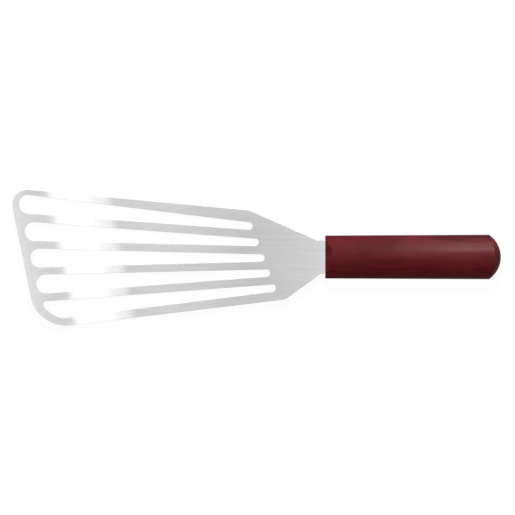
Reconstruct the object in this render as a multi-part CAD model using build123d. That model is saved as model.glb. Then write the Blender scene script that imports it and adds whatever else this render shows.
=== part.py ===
from build123d import *
import os
from math import asin, atan, cos, degrees, radians, sin, sqrt, tan

# A fish turner in two pieces: a slotted, curled steel blade with a tang, and a grip moulded over the tang.
# Lengths are millimetres and angles are degrees. +X runs from the blade to the end of the grip, +Z is up,
# and the tool lies as it does on a table. While it is built, x = 0 is the front face of the grip, and
# "ahead" means towards the blade's leading edge.

# Blade outline, seen from above
blade_reach = 222.3          # grip to leading edge, on the long axis
leading_slant = 11.5         # the leading edge leans back towards its lower end
tip_upper = 50.9             # long axis to the upper front corner, before rounding
tip_lower = 53.2             # long axis to the lower front corner, before rounding
upper_tip_radius = 10.8
lower_tip_radius = 26.5
upper_shoulder_ahead = 56.0
upper_shoulder_out = 34.3
lower_shoulder_ahead = 29.4
lower_shoulder_out = 31.2
shoulder_radius = 4.0
neck_width = 24.4
upper_neck_ahead = 5.8
lower_neck_ahead = 3.0
neck_radius = 5.0

# Sheet and its bends
sheet = 1.2                  # thickness of the steel
neck_bend_ahead = 1.5        # the blade bends down here, just outside the grip
neck_bend_radius = 30.0
curl_depth = 74.0            # the curl, measured square to the leading edge
curl_radius = 220.0
edge_left = 0.5              # steel left under the ground leading edge
edge_grind = 3.0             # width of the ground band

# Slots, which fan out from one point behind the grip's front
slot_count = 5
slot_front_pitch = 19.6      # from one slot's centre line to the next, at the front rim
fan_distance = 183.6         # grip's front to the point where the slots' centre lines meet
fan_low = 0.7                # the slots' fan lies this much towards the blade's lower side
slot_rear_ahead = 44.6       # line of the rear ends, on the fan's axis
slot_rear_slant = 20.5
slot_front_slant = 12.3
corner_slot_low = 0.65       # the lowest slot's front lies this much lower than the fan's own place
slot_front_width = 14.2
slot_rear_width = 5.2
slot_end_share = 0.45        # radius of a front end's corners, as a share of the slot's width
slot_rear_share = 0.48       # radius of a rear end's corners, as a share of the slot's width
front_rim = 5.4
lower_rim = 5.3              # rim along the lower front corner
corner_slot_radius = 2.5     # sharper corner of the slot that follows the rounded corner

# Tang, hidden in the grip
tang_length = 98.0
tang_width = 17.0
tang_end_radius = 5.0
neck_seat = 4.0              # full-width neck held in the grip
tang_step_radius = 2.0
lock_holes = 3
lock_hole_diameter = 6.0
lock_hole_first = 26.0       # first hole's centre, behind the grip's front
lock_hole_end = 14.0         # last hole's centre to the end of the tang

# Grip
grip_length = 129.0
grip_width = 31.5            # at the front
grip_depth = 20.6            # at the front
grip_side_radius = 6.0       # at the front
grip_flare = 0.67            # how much further out the skin lies at the rear end, on every side
rear_end_radius = 19.8       # the rear end is an arc, seen from above
rear_barrel_radius = 15.2    # the rear end bulges like a barrel, seen from the side
rear_barrel_share = 0.85     # half height of the barrel that trims the end, as a share of that radius
rear_edge_radius = 1.5
front_bevel_length = 5.0
front_bevel_drop = 3.8
front_edge_radius = 1.0

overrun = 5.0                # how far cutting shapes run past what they cut

# Values that follow from the sizes above
neck_half = neck_width / 2
tang_half = tang_width / 2
middle_height = grip_depth / 2 + grip_flare
sheet_under = middle_height - sheet / 2
slant = radians(leading_slant)
curl_start = blade_reach - curl_depth / cos(slant)   # ahead of the grip, on the long axis

# The blade falls just so far that the belly of its curl lies on the table with the grip. Both arcs and
# slopes are shallow, so the drop is taken as run * fall + curl * fall squared / 2 and solved for fall.
curl_under = curl_radius + sheet
fall_run = curl_start + tip_upper * tan(slant) - neck_bend_ahead
fall = (sqrt(fall_run ** 2 + 2 * curl_under * sheet_under) - fall_run) / curl_under


def on_slant(ahead, lean, y):
    """Point at side offset y on a line that crosses the long axis ahead of the grip and leans back."""
    return (-ahead - y * tan(radians(lean)), y)


def outline_face(corners):
    """Face bounded by straight runs, each corner given as its point and its radius."""
    points = [point for point, radius in corners]
    radii = [radius for point, radius in corners]
    return make_face(FilletPolyline(*points, radius=radii, close=True))


def blade_outline():
    """Plan outline of blade, neck and tang in one piece."""
    return outline_face([
        (on_slant(blade_reach, leading_slant, tip_upper), upper_tip_radius),
        ((-upper_shoulder_ahead, upper_shoulder_out), shoulder_radius),
        ((-upper_neck_ahead, neck_half), neck_radius),
        ((neck_seat, neck_half), tang_step_radius),
        ((neck_seat, tang_half), tang_step_radius),
        ((tang_length, tang_half), tang_end_radius),
        ((tang_length, -tang_half), tang_end_radius),
        ((neck_seat, -tang_half), tang_step_radius),
        ((neck_seat, -neck_half), tang_step_radius),
        ((-lower_neck_ahead, -neck_half), neck_radius),
        ((-lower_shoulder_ahead, -lower_shoulder_out), shoulder_radius),
        (on_slant(blade_reach, leading_slant, -tip_lower), lower_tip_radius),
    ])


def slot_front_ahead():
    """Where the line of the slots' front ends crosses the long axis."""
    return blade_reach - front_rim / cos(slant)


def slot_window():
    """Area open to slots: it leaves the front rim, and an even rim round the lower front corner."""
    tip = on_slant(blade_reach, leading_slant, -tip_lower)
    rise = (tip_lower - lower_shoulder_out) / (-lower_shoulder_ahead - tip[0])
    lift = lower_rim / cos(atan(rise))
    front = slot_front_ahead()
    rim_on_grip = -lower_shoulder_out + rise * lower_shoulder_ahead + lift
    corner_y = (rim_on_grip - rise * front) / (1 + rise * tan(radians(slot_front_slant)))
    return outline_face([
        (on_slant(front, slot_front_slant, tip_upper), 0),
        ((0, tip_upper), 0),
        ((0, rim_on_grip), 0),
        (on_slant(front, slot_front_slant, corner_y), lower_tip_radius - lower_rim),
    ])


def from_fan(ahead, lean, angle):
    """Distance from the fan's centre, along a slot at this angle, to a slanted line ahead of the grip."""
    return (fan_distance + ahead) * cos(radians(lean)) / cos(radians(angle + lean))


def slot(angle, window, last):
    """One tapered slot at its angle to the fan's axis, with a round rear end and rounded front corners."""
    near = from_fan(slot_rear_ahead, slot_rear_slant, angle)
    far = from_fan(slot_front_ahead(), slot_front_slant, angle)
    spread = (slot_front_width - slot_rear_width) / (far - near)
    past = far + slot_front_width
    half_rear = slot_rear_width / 2
    half_past = (slot_front_width + spread * slot_front_width) / 2
    rear_radius = slot_rear_width * slot_rear_share
    blank = outline_face([
        ((-near, half_rear), rear_radius),
        ((-past, half_past), 0),
        ((-past, -half_past), 0),
        ((-near, -half_rear), rear_radius),
    ])
    cut = (Pos(fan_distance, -fan_low) * Rot(0, 0, -angle) * blank) & window
    ends = cut.vertices().sort_by(Axis.X)
    if last:
        return fillet(ends[:1], corner_slot_radius)
    return fillet(ends[:2], slot_front_width * slot_end_share)


def slots():
    """All slots, from the upper one to the one beside the rounded corner."""
    window = slot_window()
    middle = (slot_count - 1) / 2
    reach = fan_distance + slot_front_ahead()
    pitch = degrees(atan(slot_front_pitch / reach))
    angles = [(middle - i) * pitch for i in range(slot_count)]
    angles[-1] -= degrees(atan(corner_slot_low / reach))
    return [slot(angle, window, angle == angles[-1]) for angle in angles]


def falling_sheet():
    """The flat tang, the soft bend at the neck's root and the flat that falls away, without the curl."""
    far = blade_reach + tip_upper + overrun
    drop = (far - neck_bend_ahead) * tan(fall)
    end = tang_length + overrun
    under = [(end, sheet_under), (-neck_bend_ahead, sheet_under), (-far, sheet_under - drop)]
    top_bend = -neck_bend_ahead - sheet * tan(fall / 2)
    top_far = (-far - sheet * sin(fall), sheet_under - drop + sheet * cos(fall))
    top = [top_far, (top_bend, sheet_under + sheet), (end, sheet_under + sheet)]
    radii = [0, neck_bend_radius, 0, 0, neck_bend_radius + sheet, 0]
    profile = outline_face(list(zip(under + top, radii)))
    return extrude(Plane.XZ * profile, tip_upper + tip_lower, both=True)


def curl_plane():
    """Plane across the curl: its x runs ahead, its y is the sheet's upward normal, its origin lies under."""
    height = sheet_under - (curl_start - neck_bend_ahead) * tan(fall)
    normal = Vector(-sin(fall), 0, cos(fall))
    along = Vector(-tan(slant), 1, -tan(slant) * tan(fall)).normalized()
    return Plane(origin=(-curl_start, 0, height), x_dir=normal.cross(along), z_dir=along)


def curled_sheet(place):
    """The part of the sheet that curls up about a line parallel to the leading edge, ground at its edge."""
    centre = Vector(0, curl_under)
    turn = (curl_depth + overrun) / curl_radius
    low = CenterArc(centre, curl_under, -90, degrees(turn))
    high = CenterArc(centre, curl_radius, -90, degrees(turn))
    profile = make_face([low, high, Line(low @ 0, high @ 0), Line(low @ 1, high @ 1)])
    dip = asin(-place.x_dir.Z)
    tip = dip + asin(curl_depth / curl_under - sin(dip))
    back = tip - edge_grind / curl_under
    edge_point = centre + Vector(sin(tip), -cos(tip)) * (curl_radius + edge_left)
    back_point = centre + Vector(sin(back), -cos(back)) * curl_under
    run = (edge_point - back_point).normalized() * overrun
    past = edge_point + run * 2
    ground = make_face(Polyline(back_point - run, past, past - Vector(0, overrun), close=True))
    return extrude(place * (profile - ground), tip_upper + tip_lower, both=True)


def steel_sheet():
    """The whole bent sheet before it is cut to its outline."""
    place = curl_plane()
    flat = split(falling_sheet(), bisect_by=Plane(origin=place.origin, z_dir=place.x_dir), keep=Keep.BOTTOM)
    return flat + curled_sheet(place)


def blade():
    """Blade with neck and tang, cut from the bent sheet, with its slots and the tang's lock holes."""
    plan = blade_outline()
    for opening in slots():
        plan -= opening
    pitch = (tang_length - lock_hole_first - lock_hole_end) / (lock_holes - 1)
    for i in range(lock_holes):
        plan -= Pos(lock_hole_first + i * pitch, 0) * Circle(lock_hole_diameter / 2)
    return steel_sheet() & extrude(plan, blade_reach, both=True)


def oval():
    """Grip's front section: crowns above and below, joined by tighter round sides."""
    half_width, half_depth = grip_width / 2, grip_depth / 2
    inset = half_width - grip_side_radius
    crown = (inset ** 2 + half_depth ** 2 - grip_side_radius ** 2) / (2 * (half_depth - grip_side_radius))
    reach = grip_side_radius / (crown - grip_side_radius)
    join_y = inset + inset * reach
    join_z = (crown - half_depth) * reach
    right = ThreePointArc((join_y, -join_z), (half_width, 0), (join_y, join_z))
    top = ThreePointArc((join_y, join_z), (0, half_depth), (-join_y, join_z))
    left = ThreePointArc((-join_y, join_z), (-half_width, 0), (-join_y, -join_z))
    bottom = ThreePointArc((-join_y, -join_z), (0, -half_depth), (join_y, -join_z))
    section = Plane(origin=(0, 0, middle_height), x_dir=(0, 1, 0), z_dir=(1, 0, 0))
    return section * make_face([right, top, left, bottom])


def rear_trim():
    """Block with a barrel-shaped end, which trims the grip's rear and does not touch its sides."""
    start = grip_length - rear_end_radius
    high = rear_barrel_radius * rear_barrel_share
    drawn_in = rear_barrel_radius - sqrt(rear_barrel_radius ** 2 - high ** 2)
    bulge = ThreePointArc((drawn_in - rear_end_radius, -high), (-rear_end_radius, 0),
                          (drawn_in - rear_end_radius, high))
    outline = make_face([bulge, Polyline(bulge @ 1, (0, high), (0, -high), bulge @ 0)])
    barrel = revolve(Plane.XZ * outline, axis=Axis.Z)
    block = Pos(-start / 2 - overrun, 0, 0) * Box(start + 2 * overrun, 2 * grip_width, 2 * high)
    return Pos(start, 0, middle_height) * (block + barrel)


def front_bevel():
    """Wedge that planes off the crown at the grip's front."""
    low = grip_depth / 2 - front_bevel_drop
    high = grip_depth / 2
    back = low - front_bevel_drop
    wedge = make_face(Polyline(
        (-front_bevel_length, back),
        (front_bevel_length, high),
        (front_bevel_length, high + overrun),
        (-front_bevel_length, high + overrun),
        close=True,
    ))
    return extrude(Plane.XZ * wedge, grip_width, both=True)


def grip():
    """Grip moulded over the tang: crowned and wider to the rear, and filling the tang's lock holes."""
    body = extrude(oval(), grip_length, taper=-degrees(atan(grip_flare / grip_length)))
    body = body & rear_trim()
    rear = body.faces().sort_by(Axis.X)[-1]
    body = fillet(rear.edges(), rear_edge_radius)
    wedge = front_bevel()
    body -= Pos(0, 0, middle_height) * wedge
    body -= Pos(0, 0, middle_height) * mirror(wedge, about=Plane.XY)
    front = body.faces().sort_by(Axis.X)[0]
    return fillet(front.edges(), front_edge_radius)


steel = blade()
pieces = {"blade": steel, "handle": grip() - steel}

# The finished tool stands on z = 0, with its origin at the middle of its length and width
box = steel.bounding_box().add(pieces["handle"].bounding_box())
home = Pos(-(box.min.X + box.max.X) / 2, -(box.min.Y + box.max.Y) / 2, -box.min.Z)

os.makedirs("parts", exist_ok=True)
for name, piece in pieces.items():
    piece = home * piece
    piece.label = name
    size = piece.bounding_box().size
    print(name, "solids", len(piece.solids()), "volume", round(piece.volume, 1), "size", size)
    export_step(piece, f"parts/{name}.step")
print("place of the grip's front face:", home.position)
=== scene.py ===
"""Dresses a packed fish turner: a satin steel blade, a moulded grip and a plain pale studio."""
import logging
import math
from dataclasses import dataclass, field
from enum import Enum

import bmesh
import bpy
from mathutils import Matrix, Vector


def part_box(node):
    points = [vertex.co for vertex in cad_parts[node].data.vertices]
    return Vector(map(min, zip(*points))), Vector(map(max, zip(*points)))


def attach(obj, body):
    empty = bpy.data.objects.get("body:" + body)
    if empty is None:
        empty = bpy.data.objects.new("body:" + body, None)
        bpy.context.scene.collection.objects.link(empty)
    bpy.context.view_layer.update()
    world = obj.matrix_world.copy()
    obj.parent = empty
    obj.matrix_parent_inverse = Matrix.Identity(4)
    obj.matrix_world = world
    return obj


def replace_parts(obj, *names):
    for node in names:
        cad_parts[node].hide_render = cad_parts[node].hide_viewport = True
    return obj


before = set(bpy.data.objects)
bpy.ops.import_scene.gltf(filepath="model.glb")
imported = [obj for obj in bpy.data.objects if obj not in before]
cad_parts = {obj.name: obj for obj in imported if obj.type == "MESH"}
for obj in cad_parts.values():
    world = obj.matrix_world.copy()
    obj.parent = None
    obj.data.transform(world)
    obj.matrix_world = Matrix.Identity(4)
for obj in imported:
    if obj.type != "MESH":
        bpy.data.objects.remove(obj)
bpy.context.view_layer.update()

MM = 0.001
# A cut takes a vertex that lies this close to it, in metres, as lying on it.
CUT_TOLERANCE = 1e-7
# The cosine above which a face counts as square to a direction.
SQUARE_ON = 0.99
LOG = logging.getLogger("fish_turner")

Pair = tuple[float, float]
Triple = tuple[float, float, float]
Colour = tuple[float, float, float, float]
Socket = bpy.types.NodeSocket
Source = Socket | float | Triple | Colour
BMesh = bmesh.types.BMesh
Part = bmesh.types.BMVert | bmesh.types.BMEdge | bmesh.types.BMFace
Material = bpy.types.Material
WHITE: Colour = (1.0, 1.0, 1.0, 1.0)


class Face(Enum):
    """The two faces of the sheet, as signs of their outward height."""

    UNDER = -1
    UPPER = 1


class Finish(Enum):
    """The blade's finishes, as places in its list of materials."""

    GROUND_FACE = 0
    CUT_RIM = 1


def flat(x: float, y: float) -> Vector:
    """Makes a point of the plan, at height zero."""
    return Vector((x, y, 0.0))


def on_slant(ahead: float, lean: float, y: float) -> Vector:
    """Finds the point at y on a leaning line that crosses the axis so far ahead of the grip."""
    return flat(-ahead - y * math.tan(lean), y)


def crossing(start: Vector, run: Vector, other: Vector, other_run: Vector) -> Vector:
    """Finds where two lines of the plan cross, each given by a point and a direction."""
    gap = other - start
    share = gap.cross(other_run).z / run.cross(other_run).z
    return start + run * share


def round_corners(corners: list[tuple[Vector, float]], turn: float) -> list[Vector]:
    """Rounds the corners of a closed outline.

    Args:
        corners: each corner's point and its radius, zero for a sharp one.
        turn: the most that a rounded corner turns from one point to the next, in radians.

    Returns:
        The outline's points in order.
    """
    points = []
    for i, (at, radius) in enumerate(corners):
        if radius == 0.0:
            points.append(at.copy())
            continue
        back = (corners[i - 1][0] - at).normalized()
        on = (corners[(i + 1) % len(corners)][0] - at).normalized()
        half = back.angle(on) / 2
        centre = at + (back + on).normalized() * (radius / math.sin(half))
        first = at + back * (radius / math.tan(half)) - centre
        last = at + on * (radius / math.tan(half)) - centre
        steps = max(2, math.ceil((math.pi - 2 * half) / turn))
        points += [centre + first.slerp(last, k / steps) * radius for k in range(steps + 1)]
    return points


def cut_across(
    bm: BMesh, geom: list[Part], place: Vector, normal: Vector, clear: bool = False
) -> dict[str, list[Part]]:
    """Cuts part of a mesh along a plane.

    Args:
        bm: the mesh.
        geom: its vertices, edges and faces that are cut.
        place: a point on the plane.
        normal: the plane's direction.
        clear: whether everything on the plane's outer side goes.

    Returns:
        What the cut left, as the operator gives it.
    """
    return bmesh.ops.bisect_plane(
        bm, geom=geom, dist=CUT_TOLERANCE, plane_co=place, plane_no=normal, clear_outer=clear
    )


def new_object(name: str, mesh: BMesh, materials: list[Material]) -> bpy.types.Object:
    """Turns a finished bmesh into an object at the origin.

    Args:
        name: the piece's name.
        mesh: its mesh, in the row's frame. It is freed.
        materials: one material for each material index.

    Returns:
        The linked object, shaded smooth.
    """
    data = bpy.data.meshes.new(name)
    mesh.to_mesh(data)
    mesh.free()
    data.shade_smooth()
    for material in materials:
        data.materials.append(material)
    piece = bpy.data.objects.new(name, data)
    bpy.context.scene.collection.objects.link(piece)
    return piece


def weigh_normals(piece: bpy.types.Object) -> None:
    """Lets the large faces of a piece set its shading, so that rounded edges stay narrow."""
    modifier = piece.modifiers.new("large_faces_first", "WEIGHTED_NORMAL")
    modifier.mode = "FACE_AREA"
    modifier.weight = 80
    modifier.keep_sharp = False


@dataclass(frozen=True)
class Grain:
    """One use of the shared noise.

    The spread is in noise cells to the metre, along, across and through the piece. The detail is
    the number of finer layers, and the warp is how much they are twisted about.
    """

    spread: Triple
    detail: float
    warp: float = 0.0


class NodeTree:
    """Small helper that adds and links the nodes of one material, group or world."""

    def __init__(self, tree: bpy.types.NodeTree) -> None:
        """Keeps the tree that it fills."""
        self.tree = tree

    def add(self, kind: str, **settings: object) -> bpy.types.Node:
        """Adds a node of a type, with attributes set on it."""
        node = self.tree.nodes.new(kind)
        for name, value in settings.items():
            setattr(node, name, value)
        return node

    def join(self, source: Source, end: Socket) -> None:
        """Links an output to an input, or sets the input to a plain value."""
        if isinstance(source, Socket):
            self.tree.links.new(source, end)
        else:
            end.default_value = source

    def blend(self, share: Source, low: Source, high: Source) -> Socket:
        """Mixes two colours, low at share zero and high at share one."""
        node = self.add("ShaderNodeMix", data_type="RGBA")
        self.join(share, node.inputs["Factor"])
        self.join(low, node.inputs["A"])
        self.join(high, node.inputs["B"])
        return node.outputs["Result"]

    def span(self, value: Socket, low: float, high: float, ends: Pair = (0.0, 1.0)) -> Socket:
        """Spreads a value over a range.

        Args:
            value: output with the value.
            low: the result where the value is at its first end or past it.
            high: the result where the value is at its second end or past it.
            ends: the value's first and second end.

        Returns:
            The output with the spread value.
        """
        node = self.add("ShaderNodeMapRange")
        self.join(value, node.inputs["Value"])
        self.join(ends[0], node.inputs["From Min"])
        self.join(ends[1], node.inputs["From Max"])
        self.join(low, node.inputs["To Min"])
        self.join(high, node.inputs["To Max"])
        return node.outputs["Result"]

    def math(self, operation: str, first: Source, second: Source) -> Socket:
        """Works out a sum, product or the like of two outputs or plain numbers."""
        node = self.add("ShaderNodeMath", operation=operation)
        self.join(first, node.inputs[0])
        self.join(second, node.inputs[1])
        return node.outputs["Value"]

    def mean(self, first: Source, second: Source) -> Socket:
        """Works out the mean of two values."""
        return self.math("MULTIPLY", self.math("ADD", first, second), 0.5)

    def bump(self, height: Socket, distance: float, below: Socket | None = None) -> Socket:
        """Raises the surface a little in its shading.

        Args:
            height: output with the height, from 0 to 1.
            distance: how high a height of 1 stands.
            below: output with the normal of a coarser bump, if there is one.

        Returns:
            The output with the new normal.
        """
        node = self.add("ShaderNodeBump")
        self.join(distance, node.inputs["Distance"])
        self.join(height, node.inputs["Height"])
        if below is not None:
            self.join(below, node.inputs["Normal"])
        return node.outputs["Normal"]

    def mirrored(self, path: bpy.types.Node) -> Socket:
        """Finds the rays that gloss or glass sends on, from a Light Path node."""
        glossy, through = path.outputs["Is Glossy Ray"], path.outputs["Is Transmission Ray"]
        return self.math("MAXIMUM", glossy, through)

    def place(self, group: "SharedGroup", values: dict[str, Source]) -> Socket:
        """Places a shared group, fills its inputs by name, and gives its only output."""
        node = self.add("ShaderNodeGroup", node_tree=group.build())
        for name, value in values.items():
            self.join(value, node.inputs[name])
        return node.outputs[group.result]

    def grain(self, grain: Grain) -> Socket:
        """Places the shared grain, and gives the output with its value."""
        values = {"Spread": grain.spread, "Detail": grain.detail, "Warp": grain.warp}
        return self.place(GrainGroup(), values)

    def worn_edges(self, width: float, patchiness: float) -> Socket:
        """Places the shared edge wear, and gives its mask."""
        return self.place(EdgeWearGroup(), {"Width": width, "Patchiness": patchiness})


@dataclass(frozen=True)
class SharedGroup:
    """A shader group that is built once, with named inputs and one value out."""

    name: str
    given: dict[str, str]
    result: str

    def build(self) -> bpy.types.NodeTree:
        """Builds the group, or finds it where it is built already."""
        found = bpy.data.node_groups.get(self.name)
        if found:
            return found
        group = bpy.data.node_groups.new(self.name, "ShaderNodeTree")
        for name, kind in self.given.items():
            group.interface.new_socket(name, in_out="INPUT", socket_type=kind)
        group.interface.new_socket(self.result, in_out="OUTPUT", socket_type="NodeSocketFloat")
        nodes = NodeTree(group)
        value = self.fill(nodes, nodes.add("NodeGroupInput").outputs)
        nodes.join(value, nodes.add("NodeGroupOutput").inputs[self.result])
        return group

    def fill(self, nodes: NodeTree, given: bpy.types.bpy_prop_collection) -> Socket:
        """Adds the group's own nodes, and gives the output with its value."""
        raise NotImplementedError


@dataclass(frozen=True)
class GrainGroup(SharedGroup):
    """Stretched noise, which the steel and the plastic both use."""

    name: str = "stretched_grain"
    given: dict[str, str] = field(default_factory=lambda: {
        "Spread": "NodeSocketVector", "Detail": "NodeSocketFloat", "Warp": "NodeSocketFloat"
    })
    result: str = "Value"

    def fill(self, nodes: NodeTree, given: bpy.types.bpy_prop_collection) -> Socket:
        """Adds the noise, from 0 to 1."""
        place = nodes.add("ShaderNodeTexCoord")
        scale = nodes.add("ShaderNodeVectorMath", operation="MULTIPLY")
        noise = nodes.add("ShaderNodeTexNoise")
        nodes.join(1.0, noise.inputs["Scale"])
        nodes.join(place.outputs["Object"], scale.inputs[0])
        nodes.join(given["Spread"], scale.inputs[1])
        nodes.join(scale.outputs["Vector"], noise.inputs["Vector"])
        nodes.join(given["Detail"], noise.inputs["Detail"])
        nodes.join(given["Warp"], noise.inputs["Distortion"])
        return noise.outputs["Fac"]


@dataclass(frozen=True)
class EdgeWearGroup(SharedGroup):
    """Finds the edges of a piece, worn in patches.

    The turns are the distances between the rounded and the true normal that an edge begins at and
    is full at.
    """

    name: str = "edge_wear"
    given: dict[str, str] = field(default_factory=lambda: {
        "Width": "NodeSocketFloat", "Patchiness": "NodeSocketFloat"
    })
    result: str = "Mask"
    samples: int = 6
    turns: Pair = (0.02, 0.25)
    patches: Grain = Grain((220.0, 220.0, 220.0), 3.0, 0.6)

    def fill(self, nodes: NodeTree, given: bpy.types.bpy_prop_collection) -> Socket:
        """Adds the mask, 1 where an edge is bare."""
        rounded = nodes.add("ShaderNodeBevel", samples=self.samples)
        surface = nodes.add("ShaderNodeNewGeometry")
        turn = nodes.add("ShaderNodeVectorMath", operation="DISTANCE")
        nodes.join(given["Width"], rounded.inputs["Radius"])
        nodes.join(rounded.outputs["Normal"], turn.inputs[0])
        nodes.join(surface.outputs["Normal"], turn.inputs[1])
        edge = nodes.span(turn.outputs["Value"], 0.0, 1.0, self.turns)
        lost = nodes.math("MULTIPLY", given["Patchiness"], nodes.grain(self.patches))
        return nodes.math("MULTIPLY", edge, nodes.math("SUBTRACT", 1.0, lost))


def new_material(name: str) -> tuple[Material, NodeTree, bpy.types.Node]:
    """Starts a material, and gives its node tree and its Principled BSDF with it."""
    material = bpy.data.materials.new(name)
    material.use_nodes = True
    return material, NodeTree(material.node_tree), material.node_tree.nodes["Principled BSDF"]


@dataclass(frozen=True)
class SatinSteel:
    """Stainless sheet, finely ground along its length and brighter where its edges are rubbed.

    Each span holds the noise values that its effect begins and ends at.
    """

    name: str
    dark: Colour = (0.68, 0.685, 0.69, 1.0)
    light: Colour = (0.765, 0.765, 0.77, 1.0)
    rubbed: Colour = (0.8, 0.8, 0.805, 1.0)
    smooth: float = 0.08
    rough: float = 0.16
    haze: float = 0.04
    lines: Grain = Grain((60.0, 2600.0, 2600.0), 3.0)
    streaks: Grain = Grain((7.0, 420.0, 420.0), 2.0, 0.1)
    clouds: Grain = Grain((14.0, 30.0, 30.0), 3.0, 0.8)
    tone_span: Pair = (0.3, 0.7)
    line_span: Pair = (0.25, 0.75)
    haze_span: Pair = (0.4, 0.75)
    line_height: float = 0.004 * MM
    wear_width: float = 0.5 * MM
    wear_patchiness: float = 0.7
    rubbed_smoother: float = 0.1

    def build(self) -> Material:
        """Builds the steel.

        Returns:
            The material.
        """
        material, nodes, shader = new_material(self.name)
        nodes.join(1.0, shader.inputs["Metallic"])
        lines = nodes.grain(self.lines)
        clouds = nodes.grain(self.clouds)
        worn = nodes.worn_edges(self.wear_width, self.wear_patchiness)
        tone = nodes.mean(nodes.grain(self.streaks), clouds)
        ground = nodes.blend(nodes.span(tone, 0.0, 1.0, self.tone_span), self.dark, self.light)
        nodes.join(nodes.blend(worn, ground, self.rubbed), shader.inputs["Base Color"])
        level = nodes.span(lines, self.smooth, self.rough, self.line_span)
        hazed = nodes.math("ADD", level, nodes.span(clouds, 0.0, self.haze, self.haze_span))
        lost = nodes.math("MULTIPLY", nodes.math("MULTIPLY", worn, hazed), self.rubbed_smoother)
        nodes.join(nodes.math("SUBTRACT", hazed, lost), shader.inputs["Roughness"])
        nodes.join(nodes.bump(lines, self.line_height), shader.inputs["Normal"])
        return material


@dataclass(frozen=True)
class MouldedNylon:
    """Dark red moulding with flow lines, a fine skin, and a rear part that hands have polished.

    Each span holds the noise values, or places along the tool, that its effect begins and ends at.
    """

    name: str
    dark: Colour = (0.18, 0.009, 0.012, 1.0)
    light: Colour = (0.3, 0.024, 0.03, 1.0)
    scuffed: Colour = (0.34, 0.06, 0.07, 1.0)
    specular: float = 0.25
    matt: float = 0.58
    polished: float = 0.3
    grain_depth: float = 0.08
    skin: Grain = Grain((1500.0, 1500.0, 1500.0), 2.0)
    flow: Grain = Grain((16.0, 150.0, 150.0), 2.0, 1.2)
    clouds: Grain = Grain((30.0, 60.0, 60.0), 4.0, 0.5)
    tone_span: Pair = (0.38, 0.62)
    skin_span: Pair = (0.25, 0.75)
    skin_height: float = 0.012 * MM
    flow_height: float = 0.03 * MM
    wear_width: float = 0.7 * MM
    wear_patchiness: float = 0.8
    wear_share: float = 0.35
    handled_span: Pair = (60.0 * MM, 150.0 * MM)
    patch_span: Pair = (0.3, 0.6)
    least_handled: float = 0.4

    def build(self) -> Material:
        """Builds the plastic.

        Returns:
            The material.
        """
        material, nodes, shader = new_material(self.name)
        nodes.join(self.specular, shader.inputs["Specular IOR Level"])
        skin = nodes.grain(self.skin)
        flow = nodes.grain(self.flow)
        clouds = nodes.grain(self.clouds)
        worn = nodes.worn_edges(self.wear_width, self.wear_patchiness)
        tone = nodes.span(nodes.mean(flow, clouds), 0.0, 1.0, self.tone_span)
        moulded = nodes.blend(tone, self.dark, self.light)
        scuffs = nodes.math("MULTIPLY", worn, self.wear_share)
        nodes.join(nodes.blend(scuffs, moulded, self.scuffed), shader.inputs["Base Color"])
        level = nodes.span(self._handled(nodes, clouds), self.matt, self.polished)
        fine = nodes.span(skin, 0.0, self.grain_depth, self.skin_span)
        nodes.join(nodes.math("ADD", level, fine), shader.inputs["Roughness"])
        waves = nodes.bump(flow, self.flow_height)
        nodes.join(nodes.bump(skin, self.skin_height, waves), shader.inputs["Normal"])
        return material

    def _handled(self, nodes: NodeTree, clouds: Socket) -> Socket:
        """Finds how much hands have polished the grip, which grows to the rear in soft patches."""
        place = nodes.add("ShaderNodeTexCoord")
        along = nodes.add("ShaderNodeSeparateXYZ")
        nodes.join(place.outputs["Object"], along.inputs["Vector"])
        held = nodes.span(along.outputs["X"], 0.0, 1.0, self.handled_span)
        patches = nodes.span(clouds, self.least_handled, 1.0, self.patch_span)
        return nodes.math("MULTIPLY", held, patches)


@dataclass(frozen=True)
class PaleGround:
    """Pale ground that shows white to the camera, keeps a soft shadow, and is clear from below."""

    name: str
    paint: float = 0.15
    glow: float = 0.95
    glow_in_gloss: float = 0.35

    def build(self) -> Material:
        """Builds the ground's material.

        Returns:
            The material.
        """
        material, nodes, shader = new_material(self.name)
        nodes.join((self.paint, self.paint, self.paint, 1.0), shader.inputs["Base Color"])
        nodes.join(1.0, shader.inputs["Roughness"])
        nodes.join(0.0, shader.inputs["Specular IOR Level"])
        nodes.join(WHITE, shader.inputs["Emission Color"])
        path = nodes.add("ShaderNodeLightPath")
        seen = nodes.math("MULTIPLY", path.outputs["Is Camera Ray"], self.glow)
        in_gloss = nodes.math("MULTIPLY", nodes.mirrored(path), self.glow_in_gloss)
        nodes.join(nodes.math("ADD", seen, in_gloss), shader.inputs["Emission Strength"])
        surface = nodes.add("ShaderNodeNewGeometry")
        clear = nodes.add("ShaderNodeBsdfTransparent")
        sides = nodes.add("ShaderNodeMixShader")
        nodes.join(surface.outputs["Backfacing"], sides.inputs[0])
        nodes.join(shader.outputs["BSDF"], sides.inputs[1])
        nodes.join(clear.outputs["BSDF"], sides.inputs[2])
        output = material.node_tree.nodes["Material Output"]
        nodes.join(sides.outputs["Shader"], output.inputs["Surface"])
        return material


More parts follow.
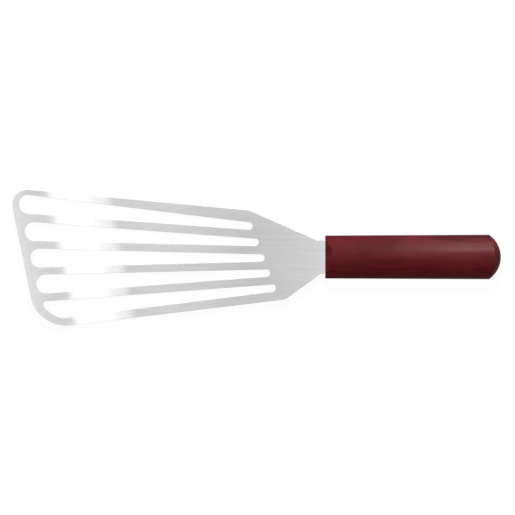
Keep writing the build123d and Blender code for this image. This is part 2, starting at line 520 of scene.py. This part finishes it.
@dataclass
class SheetForm:
    """Heights of the bent sheet over its plan, measured from the grip's middle height.

    The tang is flat, the blade falls away from a soft bend in the grip's mouth, and its front curls
    up about a line parallel to the leading edge. The curl begins at start, on the underside, where
    the sheet's directions are run (forward), along (the curl's axis) and normal (up). Level is the
    way forward in the plan, square to the leading edge.
    """

    thickness: float = 1.2 * MM
    bend_ahead: float = -1.0 * MM
    bend_radius: float = 30.0 * MM
    reach: float = 222.28 * MM
    slant: float = math.radians(11.5)
    tip_upper: float = 50.88 * MM
    curl_depth: float = 74.0 * MM
    curl_radius: float = 220.0 * MM
    grip_half_depth: float = 10.97 * MM
    grind: float = 3.0 * MM
    edge_left: float = 0.5 * MM
    fall: float = field(init=False)
    curl_start: float = field(init=False)
    under: float = field(init=False)
    start: Vector = field(init=False)
    normal: Vector = field(init=False)
    along: Vector = field(init=False)
    run: Vector = field(init=False)
    level: Vector = field(init=False)

    def __post_init__(self) -> None:
        """Works out the fall that brings the belly of the curl down to the table."""
        lean = math.tan(self.slant)
        self.curl_start = self.reach - self.curl_depth / math.cos(self.slant)
        run = self.curl_start + self.tip_upper * lean - self.bend_ahead
        outer = self.curl_radius + self.thickness
        drop = self.grip_half_depth - self.thickness / 2
        self.fall = (math.sqrt(run ** 2 + 2 * outer * drop) - run) / outer
        self.under = -self.thickness / 2
        height = self.under - (self.curl_start - self.bend_ahead) * math.tan(self.fall)
        self.start = Vector((-self.curl_start, 0.0, height))
        self.normal = Vector((-math.sin(self.fall), 0.0, math.cos(self.fall)))
        self.along = Vector((-lean, 1.0, -lean * math.tan(self.fall))).normalized()
        self.run = self.normal.cross(self.along)
        self.level = flat(-math.cos(self.slant), -math.sin(self.slant))

    def ahead_of_curl(self, x: float, y: float) -> float:
        """Measures how far a place lies into the curl, square to the leading edge."""
        return flat(x - self.start.x, y - self.start.y).dot(self.level)

    def height(self, x: float, y: float, face: Face) -> float:
        """Finds the height of one face of the sheet.

        Args:
            x: place along the tool, from the grip's front.
            y: place across it.
            face: the face asked for.

        Returns:
            The height above the grip's middle.
        """
        depth = self.ahead_of_curl(x, y)
        upper = face is Face.UPPER
        if depth > 0.0:
            return self._curl_height(x, y, upper)
        centre_x = -self.bend_ahead + self.bend_radius * math.tan(self.fall / 2)
        radius = self.bend_radius + (self.thickness if upper else 0.0)
        if x >= centre_x:
            return self.under + (self.thickness if upper else 0.0)
        if x >= centre_x - radius * math.sin(self.fall):
            rise = math.sqrt(radius ** 2 - (x - centre_x) ** 2)
            return self.under - self.bend_radius + rise
        drop = (-x - self.bend_ahead) * math.tan(self.fall)
        return self.under - drop + (self.thickness / math.cos(self.fall) if upper else 0.0)

    def _curl_height(self, x: float, y: float, upper: bool) -> float:
        """Finds the height of a face inside the curl, where it is part of a cylinder."""
        outer = self.curl_radius + self.thickness
        radius = self.curl_radius if upper else outer
        place = flat(x - self.start.x, y - self.start.y)
        side = flat(-math.sin(self.slant), math.cos(self.slant))
        run_level = self.run.dot(self.level)
        normal_level = self.normal.dot(self.level)
        reach = math.hypot(run_level, normal_level) * radius
        lead = math.atan2(normal_level, run_level)
        turn = lead + math.asin((place.dot(self.level) - outer * normal_level) / reach)
        ahead = radius * math.sin(turn)
        rise = outer - radius * math.cos(turn)
        across = place.dot(side) - ahead * self.run.dot(side) - rise * self.normal.dot(side)
        across /= self.along.dot(side)
        return self.start.z + ahead * self.run.z + rise * self.normal.z + across * self.along.z

    def settle(self, point: Vector) -> Vector:
        """Bends a point of the flat sheet to its place.

        Args:
            point: its plan, and its height above the underside of the flat sheet.

        Returns:
            The point in the bent sheet, thinned where the leading edge is ground from below.
        """
        under = self.height(point.x, point.y, Face.UNDER)
        upper = self.height(point.x, point.y, Face.UPPER)
        to_edge = self.curl_depth - self.ahead_of_curl(point.x, point.y)
        ground = max(0.0, 1.0 - max(0.0, to_edge) / self.grind)
        under += (upper - under) * ground * (1.0 - self.edge_left / self.thickness)
        share = point.z / self.thickness
        return Vector((point.x, point.y, under + (upper - under) * share))


@dataclass
class Blade:
    """The stamped blade with its neck and tang, all in one sheet.

    Its plan is measured from the middle of the grip's front, with the blade on the negative side.
    Sizes in _ahead lie ahead of the grip, those in _low towards the lower side. Turns and slants
    are in radians.
    """

    datum: Vector
    form: SheetForm = field(default_factory=SheetForm)
    tip_lower: float = 53.19 * MM
    upper_tip_radius: float = 10.8 * MM
    lower_tip_radius: float = 26.5 * MM
    upper_shoulder: Vector = field(default_factory=lambda: flat(-56.0 * MM, 34.3 * MM))
    lower_shoulder: Vector = field(default_factory=lambda: flat(-29.4 * MM, -31.2 * MM))
    shoulder_radius: float = 4.0 * MM
    neck_width: float = 24.4 * MM
    upper_neck_ahead: float = 5.8 * MM
    lower_neck_ahead: float = 3.0 * MM
    neck_radius: float = 5.0 * MM
    neck_seat: float = 4.0 * MM
    tang_length: float = 98.0 * MM
    tang_width: float = 17.0 * MM
    tang_end_radius: float = 5.0 * MM
    tang_step_radius: float = 2.0 * MM
    lock_holes: int = 3
    lock_hole_radius: float = 3.0 * MM
    lock_hole_first: float = 26.0 * MM
    lock_hole_end: float = 14.0 * MM
    slot_count: int = 5
    slot_front_pitch: float = 19.6 * MM
    fan_distance: float = 183.6 * MM
    fan_low: float = 0.7 * MM
    slot_rear_ahead: float = 44.6 * MM
    slot_rear_slant: float = math.radians(20.5)
    slot_front_slant: float = math.radians(12.3)
    corner_slot_low: float = 0.65 * MM
    slot_front_width: float = 14.2 * MM
    slot_rear_width: float = 5.2 * MM
    slot_end_share: float = 0.45
    slot_rear_share: float = 0.48
    front_rim: float = 5.4 * MM
    lower_rim: float = 5.3 * MM
    corner_slot_radius: float = 2.5 * MM
    corner_skip: float = 4.0 * MM
    corner_steps: int = 14
    rim_round: float = 0.15 * MM
    rim_steps: int = 3
    rim_turn: float = 1.0
    level_turn: float = 0.01
    arc_turn: float = math.radians(6.0)
    curl_step: float = 2.0 * MM
    bend_cuts: int = 5
    bend_margin: float = 1.2

    def outline(self) -> list[Vector]:
        """Draws the plan outline of blade, neck and tang.

        Returns:
            Its points in order.
        """
        form = self.form
        neck, tang = self.neck_width / 2, self.tang_width / 2
        return round_corners([
            (on_slant(form.reach, form.slant, form.tip_upper), self.upper_tip_radius),
            (self.upper_shoulder, self.shoulder_radius),
            (flat(-self.upper_neck_ahead, neck), self.neck_radius),
            (flat(self.neck_seat, neck), self.tang_step_radius),
            (flat(self.neck_seat, tang), self.tang_step_radius),
            (flat(self.tang_length, tang), self.tang_end_radius),
            (flat(self.tang_length, -tang), self.tang_end_radius),
            (flat(self.neck_seat, -tang), self.tang_step_radius),
            (flat(self.neck_seat, -neck), self.tang_step_radius),
            (flat(-self.lower_neck_ahead, -neck), self.neck_radius),
            (self.lower_shoulder, self.shoulder_radius),
            (on_slant(form.reach, form.slant, -self.tip_lower), self.lower_tip_radius),
        ], self.arc_turn)

    def slots(self) -> list[list[Vector]]:
        """Draws each slot, from the upper one to the one beside the rounded corner."""
        front = self.form.reach - self.front_rim / math.cos(self.form.slant)
        reach = self.fan_distance + front
        pitch = math.atan(self.slot_front_pitch / reach)
        middle = (self.slot_count - 1) / 2
        angles = [(middle - i) * pitch for i in range(self.slot_count)]
        angles[-1] -= math.atan(self.corner_slot_low / reach)
        return [self._slot(angle, front, angle == angles[-1]) for angle in angles]

    def _slot(self, angle: float, front: float, last: bool) -> list[Vector]:
        """Draws one tapered slot.

        Args:
            angle: its angle to the long axis, in radians.
            front: where the line of front ends crosses the axis.
            last: whether the slot follows the blade's rounded corner.

        Returns:
            Its points in order.
        """
        fan = flat(self.fan_distance, -self.fan_low)
        away = flat(-math.cos(angle), math.sin(angle))
        out = flat(math.sin(angle), math.cos(angle))
        near = self._from_fan(self.slot_rear_ahead, self.slot_rear_slant, angle)
        far = self._from_fan(front, self.slot_front_slant, angle)
        rear, tip = fan + away * near, fan + away * far
        rear_ends = [rear + out * (self.slot_rear_width / 2 * sign) for sign in (1, -1)]
        tip_ends = [tip + out * (self.slot_front_width / 2 * sign) for sign in (1, -1)]
        runs = [tip_end - rear_end for tip_end, rear_end in zip(tip_ends, rear_ends)]
        line = on_slant(front, self.slot_front_slant, 0.0)
        lean = on_slant(front, self.slot_front_slant, self.tip_lower) - line
        rear_radius = self.slot_rear_width * self.slot_rear_share
        if last:
            fronts = self._corner_front(rear_ends, runs, line, lean)
        else:
            radius = self.slot_front_width * self.slot_end_share
            fronts = [(crossing(end, run, line, lean), radius) for end, run in zip(rear_ends, runs)]
        return round_corners(
            [(rear_ends[0], rear_radius), *fronts, (rear_ends[1], rear_radius)], self.arc_turn
        )

    def _from_fan(self, ahead: float, lean: float, angle: float) -> float:
        """Measures from the fan's centre, along a slot at an angle, to a line that leans back."""
        return (self.fan_distance + ahead) * math.cos(lean) / math.cos(angle + lean)

    def _corner_front(
        self, ends: list[Vector], runs: list[Vector], line: Vector, lean: Vector
    ) -> list[tuple[Vector, float]]:
        """Draws the front of the slot that keeps an even rim round the blade's lower corner.

        Args:
            ends: the rear ends of the slot's upper and lower side.
            runs: the directions of those sides.
            line: a point on the line of front ends.
            lean: that line's direction.

        Returns:
            Corners and radii, from the upper side to the lower one.
        """
        tip = on_slant(self.form.reach, self.form.slant, -self.tip_lower)
        rim = (tip - self.lower_shoulder).normalized()
        inward = Vector((0.0, 0.0, -1.0)).cross(rim)
        corner = crossing(line, lean, tip + inward * self.lower_rim, rim)
        radius = self.lower_tip_radius - self.lower_rim
        up = lean.normalized() if lean.y > 0 else -lean.normalized()
        back = -rim
        half = up.angle(back) / 2
        centre = corner + (up + back).normalized() * (radius / math.sin(half))
        hits = [self._on_circle(end, run, centre, radius) for end, run in zip(ends, runs)]
        first, last = hits[0] - centre, hits[1] - centre
        shares = [k / self.corner_steps for k in range(1, self.corner_steps)]
        arc = [centre + first.slerp(last, share) * radius for share in shares]
        kept = [(point, 0.0) for point in arc if (point - hits[0]).length > self.corner_skip]
        return [(hits[0], self.corner_slot_radius), *kept, (hits[1], 0.0)]

    def _on_circle(self, start: Vector, run: Vector, centre: Vector, radius: float) -> Vector:
        """Finds where a line leaves a circle on its far side."""
        step = run.normalized()
        ahead = (centre - start).dot(step)
        off = (centre - start - step * ahead).length
        return start + step * (ahead + math.sqrt(radius ** 2 - off ** 2))

    def holes(self) -> list[list[Vector]]:
        """Draws each lock hole of the tang."""
        last = self.tang_length - self.lock_hole_end
        pitch = (last - self.lock_hole_first) / (self.lock_holes - 1)
        steps = round(math.pi / self.arc_turn)
        turns = [2 * math.pi * k / steps for k in range(steps)]
        ring = [flat(math.cos(a), math.sin(a)) * self.lock_hole_radius for a in turns]
        centres = [flat(self.lock_hole_first + i * pitch, 0.0) for i in range(self.lock_holes)]
        return [[centre + point for point in ring] for centre in centres]

    def build(self, face: Material, rim: Material) -> bpy.types.Object:
        """Builds the blade's mesh.

        Args:
            face: material of the ground faces.
            rim: material of the cut rims.

        Returns:
            The blade.
        """
        bm = bmesh.new()
        for loop in [self.outline(), *self.slots(), *self.holes()]:
            verts = [bm.verts.new(point) for point in loop]
            for start, end in zip(verts, verts[1:] + verts[:1]):
                bm.edges.new((start, end))
        bmesh.ops.triangle_fill(bm, use_beauty=True, edges=bm.edges[:], normal=(0.0, 0.0, 1.0))
        bmesh.ops.dissolve_limit(
            bm, angle_limit=self.level_turn, verts=bm.verts[:], edges=bm.edges[:]
        )
        self._thicken(bm)
        self._cut_strips(bm)
        for vert in bm.verts:
            vert.co = self.form.settle(vert.co) + self.datum
        bmesh.ops.recalc_face_normals(bm, faces=bm.faces[:])
        piece = new_object("blade_satin_sheet", bm, [face, rim])
        weigh_normals(piece)
        return piece

    def _thicken(self, bm: BMesh) -> None:
        """Gives the flat sheet its thickness and rounds all its rims."""
        made = bmesh.ops.extrude_face_region(bm, geom=bm.faces[:])
        raised = [item for item in made["geom"] if isinstance(item, bmesh.types.BMVert)]
        bmesh.ops.translate(bm, verts=raised, vec=(0.0, 0.0, self.form.thickness))
        bmesh.ops.recalc_face_normals(bm, faces=bm.faces[:])
        rims = [
            edge for edge in bm.edges
            if edge.calc_face_angle() > self.rim_turn and edge.verts[0].co.z == edge.verts[1].co.z
        ]
        bmesh.ops.bevel(
            bm, geom=rims, offset=self.rim_round, offset_type="OFFSET", segments=self.rim_steps,
            profile=0.5, affect="EDGES", clamp_overlap=False, material=-1
        )
        for item in bm.faces:
            finish = Finish.CUT_RIM if abs(item.normal.z) < SQUARE_ON else Finish.GROUND_FACE
            item.material_index = finish.value

    def _cut_strips(self, bm: BMesh) -> None:
        """Cuts the sheet across where it bends, so that it can follow its curves."""
        form = self.form
        count = round(form.curl_depth / self.curl_step)
        depths = [form.curl_depth * k / count for k in range(count)]
        depths.append(form.curl_depth - form.grind)
        start = flat(form.start.x, form.start.y)
        planes = [(start + form.level * depth, form.level) for depth in depths]
        bend = form.bend_radius * form.fall * self.bend_margin
        shares = [k / (self.bend_cuts - 1) - 0.5 for k in range(self.bend_cuts)]
        planes += [(flat(bend * share - form.bend_ahead, 0.0), flat(1.0, 0.0)) for share in shares]
        for place, normal in planes:
            cut_across(bm, bm.verts[:] + bm.edges[:] + bm.faces[:], place, normal)


@dataclass
class Grip:
    """The moulded grip: crowned, flared to the rear, with a barrel-shaped end.

    The mouth and the pocket hold the sheet: half width, low edge and high edge. The wall scales
    shrink the rings of the rear wall towards its middle.
    """

    datum: Vector
    length: float = 129.0 * MM
    half_width: float = 15.73 * MM
    half_depth: float = 10.29 * MM
    side_radius: float = 6.0 * MM
    flare: float = 0.67 * MM
    end_radius: float = 19.8 * MM
    barrel_radius: float = 15.2 * MM
    rear_round: float = 1.1 * MM
    bevel_length: float = 5.0 * MM
    bevel_drop: float = 3.8 * MM
    front_round: float = 0.8 * MM
    parting: float = 0.04 * MM
    parting_half_width: float = 0.16 * MM
    neck_mouth: Triple = (12.24 * MM, -0.7 * MM, 0.62 * MM)
    neck_seat: float = 4.0 * MM
    tang_pocket: Triple = (8.52 * MM, -0.62 * MM, 0.62 * MM)
    tang_length: float = 98.1 * MM
    side_segments: int = 14
    crown_segments: int = 20
    body_rings: int = 44
    wall_scales: tuple[float, ...] = (0.88, 0.78, 0.67, 0.55, 0.42, 0.29, 0.16, 0.05)
    end_trials: int = 4
    round_segments: int = 4
    sharp_turn: float = math.radians(20.0)
    weld: float = 0.001 * MM
    sliver: float = 0.002 * MM
    front_slack: float = 0.01 * MM

    def section(self, x: float) -> Triple:
        """Finds half width, half depth and side radius at a place along the grip."""
        growth = self.flare * x / self.length
        return self.half_width + growth, self.half_depth + growth, self.side_radius + growth

    def rim_point(self, x: float, column: int) -> Pair:
        """Finds a point on the rim of a section.

        Args:
            x: place of the section.
            column: which of the columns around it.

        Returns:
            Its offset across and its height.
        """
        half_width, half_depth, side = self.section(x)
        across = half_width - side
        crown = (across ** 2 + half_depth ** 2 - side ** 2) / (2 * (half_depth - side))
        lift = crown - half_depth
        join = math.atan2(lift, across)
        quarter = self.side_segments + self.crown_segments
        turn, place = divmod(column % (2 * quarter), quarter)
        sign = -1.0 if turn else 1.0
        if place <= self.side_segments:
            angle = join * self._side_share(place)
            radius = side + (self.parting if place == self.side_segments // 2 else 0.0)
            return sign * (across + radius * math.cos(angle)), sign * radius * math.sin(angle)
        share = (place - self.side_segments) / self.crown_segments
        angle = join + (math.pi - 2 * join) * share
        return sign * crown * math.cos(angle), sign * (crown * math.sin(angle) - lift)

    def _side_share(self, place: int) -> float:
        """Spreads a side's points from -1 to 1, with three close together on the parting line."""
        middle = self.side_segments // 2
        if place == middle:
            return 0.0
        close = self.parting_half_width / self.side_radius
        sign = 1.0 if place > middle else -1.0
        steps = abs(place - middle) - 1
        return sign * (close + (1.0 - close) * steps / (middle - 1))

    def end_wall(self, y: float, z: float) -> float:
        """Finds how far the rear end reaches: an arc in the plan that bulges like a barrel."""
        drawn_in = self.barrel_radius - math.sqrt(self.barrel_radius ** 2 - z ** 2)
        reach = (self.end_radius - drawn_in) ** 2 - y ** 2
        return self.length - self.end_radius + math.sqrt(max(0.0, reach))

    def surface(self, ring: int, column: int) -> Vector:
        """Finds a point of the grip's skin.

        Args:
            ring: which ring, from the front face to the middle of the rear end.
            column: which column around the grip.

        Returns:
            The point, from the grip's front on its axis.
        """
        share = min(1.0, ring / self.body_rings)
        x = share * self.length
        for _ in range(self.end_trials):
            y, z = self.rim_point(x, column)
            x = share * self.end_wall(y, z)
        if ring > self.body_rings:
            scale = self.wall_scales[ring - self.body_rings - 1]
            y, z = y * scale, z * scale
            x = self.end_wall(y, z)
        return Vector((x, y, z))

    def build(self, material: Material) -> bpy.types.Object:
        """Builds the grip's mesh.

        Args:
            material: the moulding's material.

        Returns:
            The grip.
        """
        rings = self.body_rings + len(self.wall_scales)
        columns = 2 * (self.side_segments + self.crown_segments)
        bm = bmesh.new()
        bmesh.ops.create_grid(bm, x_segments=rings, y_segments=columns, size=0.5)
        for vert in bm.verts:
            ring = round((vert.co.x + 0.5) * rings)
            column = round((vert.co.y + 0.5) * columns)
            vert.co = self.surface(ring, column)
        bmesh.ops.remove_doubles(bm, verts=bm.verts[:], dist=self.weld)
        bmesh.ops.holes_fill(bm, edges=[edge for edge in bm.edges if edge.is_boundary], sides=0)
        bmesh.ops.recalc_face_normals(bm, faces=bm.faces[:])
        self._plane_front(bm)
        self._soften(bm, self.length / 2, self.length, self.rear_round)
        self._soften(bm, -self.front_slack, self.front_slack, self.front_round)
        ahead = [item for item in bm.faces if item.normal.x < -SQUARE_ON]
        front = max(ahead, key=lambda item: item.calc_area())
        seat = self._sink(bm, [front], self.neck_mouth, self.neck_seat)
        self._sink(bm, seat, self.tang_pocket, self.tang_length - self.neck_seat)
        bmesh.ops.translate(bm, verts=bm.verts[:], vec=self.datum)
        piece = new_object("grip_moulding", bm, [material])
        weigh_normals(piece)
        return piece

    def _plane_front(self, bm: BMesh) -> None:
        """Planes off both crowns at the front."""
        for sign in (1.0, -1.0):
            place = Vector((0.0, 0.0, sign * (self.half_depth - self.bevel_drop)))
            normal = Vector((-self.bevel_drop, 0.0, sign * self.bevel_length)).normalized()
            everything = bm.verts[:] + bm.edges[:] + bm.faces[:]
            cut = cut_across(bm, everything, place, normal, clear=True)
            edges = [item for item in cut["geom_cut"] if isinstance(item, bmesh.types.BMEdge)]
            bmesh.ops.holes_fill(bm, edges=edges, sides=0)
        bmesh.ops.recalc_face_normals(bm, faces=bm.faces[:])

    def _soften(self, bm: BMesh, start: float, end: float, width: float) -> None:
        """Rounds the sharp edges between two places along the grip.

        Args:
            bm: the grip's mesh.
            start: the first place.
            end: the last place.
            width: how far the rounding reaches from each edge.
        """
        sharp = [
            edge for edge in bm.edges
            if all(start <= vert.co.x <= end for vert in edge.verts)
            and edge.calc_face_angle() > self.sharp_turn
        ]
        bmesh.ops.bevel(
            bm, geom=sharp, offset=width, offset_type="OFFSET", segments=self.round_segments,
            profile=0.5, affect="EDGES", clamp_overlap=True, material=-1
        )
        bmesh.ops.dissolve_degenerate(bm, dist=self.sliver, edges=bm.edges[:])

    def _sink(
        self, bm: BMesh, faces: list[bmesh.types.BMFace], hole: Triple, depth: float
    ) -> list[bmesh.types.BMFace]:
        """Sinks a rectangular pocket into level front faces.

        Args:
            bm: the grip's mesh.
            faces: the faces that the pocket opens in.
            hole: half width, low edge and high edge of the pocket.
            depth: how far it goes in.

        Returns:
            The faces of its floor.
        """
        half, low, high = hole
        cuts = [(Vector((0.0, sign * half, 0.0)), Vector((0.0, 1.0, 0.0))) for sign in (1, -1)]
        cuts += [(Vector((0.0, 0.0, height)), Vector((0.0, 0.0, 1.0))) for height in (low, high)]
        for place, normal in cuts:
            geom = list({item for face in faces for item in (*face.verts, *face.edges, face)})
            cut = cut_across(bm, geom, place, normal)
            faces = [item for item in cut["geom"] if isinstance(item, bmesh.types.BMFace)]
        centres = {face: face.calc_center_median() for face in faces}
        mouth = [face for face, at in centres.items() if abs(at.y) < half and low < at.z < high]
        made = bmesh.ops.extrude_discrete_faces(bm, faces=mouth)
        bmesh.ops.translate(
            bm, verts=[vert for face in made["faces"] for vert in face.verts], vec=(depth, 0.0, 0.0)
        )
        return made["faces"]


@dataclass(frozen=True)
class Panel:
    """A soft light panel that the camera does not see.

    Its glow is the brightness of its face, where 1 is white. Without a target it hangs face down.
    """

    name: str
    place: Triple
    size: Pair
    glow: float
    target: Triple | None = None

    def build(self) -> None:
        """Hangs the panel."""
        data = bpy.data.lights.new(self.name, "AREA")
        data.shape = "RECTANGLE"
        data.size, data.size_y = self.size
        data.energy = self.glow * math.pi * self.size[0] * self.size[1]
        panel = bpy.data.objects.new(self.name, data)
        panel.location = self.place
        target = self.target or (self.place[0], self.place[1], 0.0)
        aim = Vector(target) - Vector(self.place)
        panel.rotation_euler = aim.to_track_quat("-Z", "Y").to_euler()
        panel.visible_camera = False
        bpy.context.scene.collection.objects.link(panel)


@dataclass
class Studio:
    """Camera, lights and pale ground.

    The panels far overhead make the fade of white along the curl, the low ones tint the flat of the
    blade, and the last three light the grip. The room levels are for gloss and glass only, and each
    room span holds the slopes of view that the level changes between.
    """

    view_centre: Vector = field(default_factory=lambda: Vector((0.73, 0.07, 8.0)) * MM)
    view_width: float = 378.5 * MM
    distance: float = 5.0
    sensor: float = 36.0
    clip_end: float = 100.0
    ground_size: float = 12.0
    surround: float = 0.05
    overhead: float = 0.36
    overhead_span: Pair = (0.75, 0.96)
    near_wall: float = 0.18
    near_wall_span: Pair = (-0.95, 0.4)
    panels: tuple[Panel, ...] = (
        Panel("fade_far", (-0.97, 0.1, 8.0), (0.2, 1.4), 0.33),
        Panel("fade_middle", (-0.77, 0.1, 8.0), (0.2, 1.4), 0.63),
        Panel("fade_near", (-0.53, 0.1, 8.0), (0.28, 1.4), 0.77),
        Panel("fade_white", (-0.17, 0.1, 8.0), (0.44, 1.4), 0.88),
        Panel("bright_strip", (1.0, 0.3, 8.0), (1.9, 1.8), 1.2),
        Panel("ceiling_right", (4.4, 0.9, 8.0), (4.88, 2.6), 0.41),
        Panel("slat_glow_edge", (-0.4, 0.0, 1.2), (0.25, 0.4), 0.3),
        Panel("slat_glow_far", (-0.53, 0.0, 1.2), (0.6, 0.4), 0.48),
        Panel("slat_glow_middle", (-0.485, 0.0, 1.2), (0.6, 0.4), 0.3),
        Panel("slat_glow_near", (-0.455, 0.0, 1.2), (0.6, 0.4), 0.06),
        Panel("neck_glow", (-0.05, 0.0, 1.2), (0.09, 0.4), 0.16),
        Panel("key", (0.15, 2.4, 1.6), (0.7, 0.4), 8.5, (0.15, 0.0, 0.0)),
        Panel("key_high", (0.1, 1.5, 2.3), (0.9, 0.6), 11.0, (0.1, 0.0, 0.0)),
        Panel("side_wall", (0.1, 2.2, 0.35), (2.0, 0.7), 0.8, (0.1, 0.0, 0.0)),
    )

    def build(self) -> None:
        """Builds the whole studio."""
        self._camera()
        self._ground()
        self._world()
        for panel in self.panels:
            panel.build()

    def _camera(self) -> None:
        """Looks straight down, as the photograph does."""
        data = bpy.data.cameras.new("overhead_camera")
        data.sensor_width = self.sensor
        data.lens = self.sensor * self.distance / self.view_width
        data.clip_end = self.clip_end
        camera = bpy.data.objects.new("overhead_camera", data)
        camera.location = self.view_centre + Vector((0.0, 0.0, self.distance))
        bpy.context.scene.collection.objects.link(camera)
        bpy.context.scene.camera = camera

    def _ground(self) -> None:
        """Lays the pale ground that the tool lies on."""
        bm = bmesh.new()
        bmesh.ops.create_grid(bm, x_segments=1, y_segments=1, size=self.ground_size / 2)
        ground = new_object("pale_ground", bm, [PaleGround("pale_ground").build()])

    def _world(self) -> None:
        """Sets a dim surround that the camera sees as white, and gloss and glass as a white room.

        The room is white round its walls, greyer overhead and darkest on its near side.
        """
        world = bpy.data.worlds.new("plain_surround")
        bpy.context.scene.world = world
        world.use_nodes = True
        nodes = NodeTree(world.node_tree)
        path = nodes.add("ShaderNodeLightPath")
        place = nodes.add("ShaderNodeTexCoord")
        heading = nodes.add("ShaderNodeSeparateXYZ")
        nodes.join(place.outputs["Generated"], heading.inputs["Vector"])
        walls = nodes.span(heading.outputs["Y"], self.near_wall, 1.0, self.near_wall_span)
        overhead = nodes.span(heading.outputs["Z"], 0.0, 1.0, self.overhead_span)
        change = nodes.math("MULTIPLY", overhead, nodes.math("SUBTRACT", self.overhead, walls))
        room = nodes.math("ADD", walls, change)
        seen = nodes.span(path.outputs["Is Camera Ray"], self.surround, 1.0)
        level = nodes.math("ADD", seen, nodes.math("MULTIPLY", nodes.mirrored(path), room))
        shader = world.node_tree.nodes["Background"]
        nodes.join(WHITE, shader.inputs["Color"])
        nodes.join(level, shader.inputs["Strength"])


def grip_datum() -> Vector:
    """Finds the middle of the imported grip's front, which the scene's own sizes start from."""
    low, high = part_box("handle")
    return Vector((low.x, (low.y + high.y) / 2, (low.z + high.z) / 2))


def main() -> None:
    """Builds the pieces in order and reports each."""
    logging.basicConfig(level=logging.INFO, format="%(message)s")
    scene = bpy.context.scene
    scene.view_settings.view_transform = "Standard"
    datum = grip_datum()
    face = SatinSteel("satin_steel").build()
    rim = SatinSteel("cut_steel", smooth=0.3, rough=0.45, line_height=0.002 * MM).build()
    blade = Blade(datum).build(face, rim)
    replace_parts(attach(blade, "root"), "blade")
    grip = Grip(datum).build(MouldedNylon("dark_red_nylon").build())
    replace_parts(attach(grip, "root"), "handle")
    Studio().build()
    for piece in (blade, grip):
        LOG.info("%s: %d faces", piece.name, len(piece.data.polygons))


if __name__ == "__main__":
    main()
